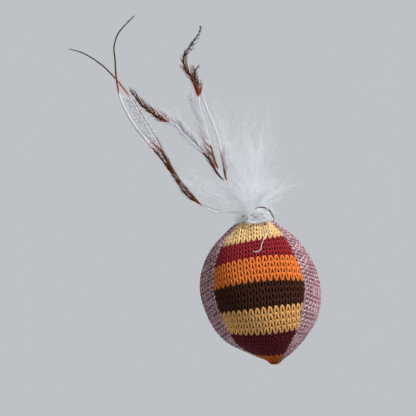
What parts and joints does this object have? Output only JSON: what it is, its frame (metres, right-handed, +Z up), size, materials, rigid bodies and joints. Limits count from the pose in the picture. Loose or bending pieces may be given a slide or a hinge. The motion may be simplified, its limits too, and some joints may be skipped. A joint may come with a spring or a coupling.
{
  "type": "knitted feather ball toy",
  "caption": "Cat toy: a stuffed ball of knitted striped and marled gores with a rattle inside, and banded feathers and white down at its neck.",
  "frame": {"origin": "the middle of the gathered neck, where the thread ties the knitted ball shut round the feathers", "axes": "+Z up along the ball's axis towards the feathers, -Y towards the front striped panel, +X to its right"},
  "size_m": [0.084, 0.0452, 0.1353],
  "materials": {
    "striped_knit": "coarse stockinette in cream, maroon, orange and brown stripes, matt",
    "mauve_knit": "fine marled knit of pale and plum yarn, matt",
    "seam_thread": "overlocked polyester thread",
    "gathering_thread": "strong thread, satin",
    "glue": "set hot-melt glue",
    "filling": "loose polyester fibre",
    "capsule": "moulded, milky",
    "pellet": "small steel shot",
    "banded_feather": "brown and white barbs on a dark quill",
    "white_down": "loose white down",
    "brown_barb": "curled brown barb"
  },
  "bodies": {
    "ball": {"front_striped_panel": "striped_knit", "right_mauve_panel": "mauve_knit", "back_striped_panel": "striped_knit", "left_mauve_panel": "mauve_knit", "front_left_seam_thread": "seam_thread", "front_right_seam_thread": "seam_thread", "back_right_seam_thread": "seam_thread", "back_left_seam_thread": "seam_thread", "tip_knot": "seam_thread", "gathering_thread": "gathering_thread", "neck_glue_plug": "glue", "upper_filling": "filling", "lower_filling": "filling", "rattle_capsule_top": "capsule", "rattle_capsule_base": "capsule", "curled_down_clump": "white_down", "curled_brown_barb": "brown_barb"},
    "far_left_feather": {"far_left_feather": "banded_feather"},
    "tall_curved_feather": {"tall_curved_feather": "banded_feather"},
    "short_left_feather": {"short_left_feather": "banded_feather"},
    "tall_middle_feather": {"tall_middle_feather": "banded_feather"},
    "short_middle_feather": {"short_middle_feather": "banded_feather"},
    "front_down_plume": {"front_down_plume": "white_down"},
    "left_down_plume": {"left_down_plume": "white_down"},
    "right_down_plume": {"right_down_plume": "white_down"},
    "back_down_plume": {"back_down_plume": "white_down"},
    "rattle_pellet_left": {"rattle_pellet_left": "pellet"},
    "rattle_pellet_middle": {"rattle_pellet_middle": "pellet"},
    "rattle_pellet_right": {"rattle_pellet_right": "pellet"}
  },
  "joints": [
    {"name": "far_left_feather_sway", "type": "hinge", "parent": "ball", "child": "far_left_feather", "pos_m": [0, 0, 0.0022], "axis": [0, 1, 0], "range_deg": [-5, 8], "stiffness_Nm_per_rad": 0.001},
    {"name": "tall_curved_feather_sway", "type": "hinge", "parent": "ball", "child": "tall_curved_feather", "pos_m": [0, 0, 0.0022], "axis": [0, 1, 0], "range_deg": [-5, 8], "stiffness_Nm_per_rad": 0.001},
    {"name": "short_left_feather_sway", "type": "hinge", "parent": "ball", "child": "short_left_feather", "pos_m": [0, 0, 0.0022], "axis": [0, 1, 0], "range_deg": [-8, 8], "stiffness_Nm_per_rad": 0.001},
    {"name": "tall_middle_feather_sway", "type": "hinge", "parent": "ball", "child": "tall_middle_feather", "pos_m": [0, 0, 0.0022], "axis": [0, 1, 0], "range_deg": [-8, 8], "stiffness_Nm_per_rad": 0.001},
    {"name": "short_middle_feather_sway", "type": "hinge", "parent": "ball", "child": "short_middle_feather", "pos_m": [0, 0, 0.0022], "axis": [0, 1, 0], "range_deg": [-8, 8], "stiffness_Nm_per_rad": 0.001},
    {"name": "left_down_plume_sway", "type": "hinge", "parent": "ball", "child": "left_down_plume", "pos_m": [0, 0, 0.0022], "axis": [0, 1, 0], "range_deg": [-6, 8], "stiffness_Nm_per_rad": 0.0005},
    {"name": "right_down_plume_sway", "type": "hinge", "parent": "ball", "child": "right_down_plume", "pos_m": [0, 0, 0.0022], "axis": [0, 1, 0], "range_deg": [-4, 8], "stiffness_Nm_per_rad": 0.0003},
    {"name": "front_down_plume_sway", "type": "hinge", "parent": "ball", "child": "front_down_plume", "pos_m": [0, -0.003, 0.0022], "axis": [1, 0, 0], "range_deg": [0, 12], "stiffness_Nm_per_rad": 0.001},
    {"name": "back_down_plume_sway", "type": "hinge", "parent": "ball", "child": "back_down_plume", "pos_m": [0, 0.003, 0.0022], "axis": [1, 0, 0], "range_deg": [-12, 0], "stiffness_Nm_per_rad": 0.001},
    {"name": "rattle_pellet_left_roll", "type": "hinge", "parent": "ball", "child": "rattle_pellet_left", "pos_m": [0, 0, -0.02772], "axis": [1, 0, 0], "continuous": true},
    {"name": "rattle_pellet_middle_roll", "type": "hinge", "parent": "ball", "child": "rattle_pellet_middle", "pos_m": [0, 0, -0.02772], "axis": [1, 0, 0], "continuous": true},
    {"name": "rattle_pellet_right_roll", "type": "hinge", "parent": "ball", "child": "rattle_pellet_right", "pos_m": [0, 0, -0.02772], "axis": [1, 0, 0], "continuous": true}
  ]
}
